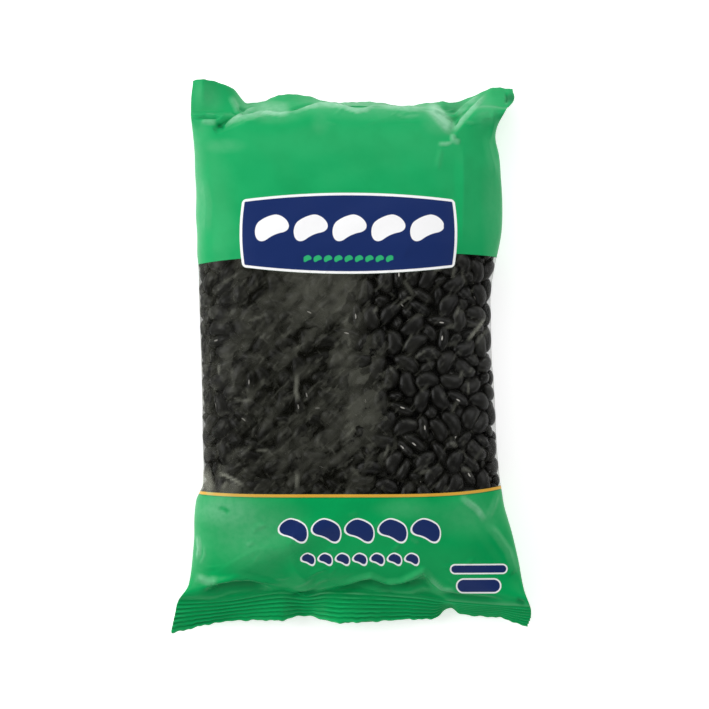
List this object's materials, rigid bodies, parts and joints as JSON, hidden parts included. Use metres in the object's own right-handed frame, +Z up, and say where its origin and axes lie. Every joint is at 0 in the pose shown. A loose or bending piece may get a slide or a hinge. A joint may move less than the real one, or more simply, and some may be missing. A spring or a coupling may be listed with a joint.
{
  "type": "bag of dried beans",
  "caption": "Sealed film pillow bag of dried black beans with printed ends and a clear window, lying on its back.",
  "frame": {"origin": "on the table, under the middle of the bag's outline seen from above", "axes": "+X across the bag to the right, +Y along it towards its top seal, +Z up from the table out of the printed front"},
  "size_m": [0.1441, 0.222, 0.0379],
  "materials": {
    "printed_film": "green printed plastic film, satin gloss, with soft creases",
    "black_bean": "dry black bean skin with a dull shine and a small pale scar",
    "clear_film": "clear thin plastic film, glossy and slightly hazy"
  },
  "bodies": {
    "root": {"bag": "printed_film", "beans": "black_bean"}
  },
  "joints": []
}
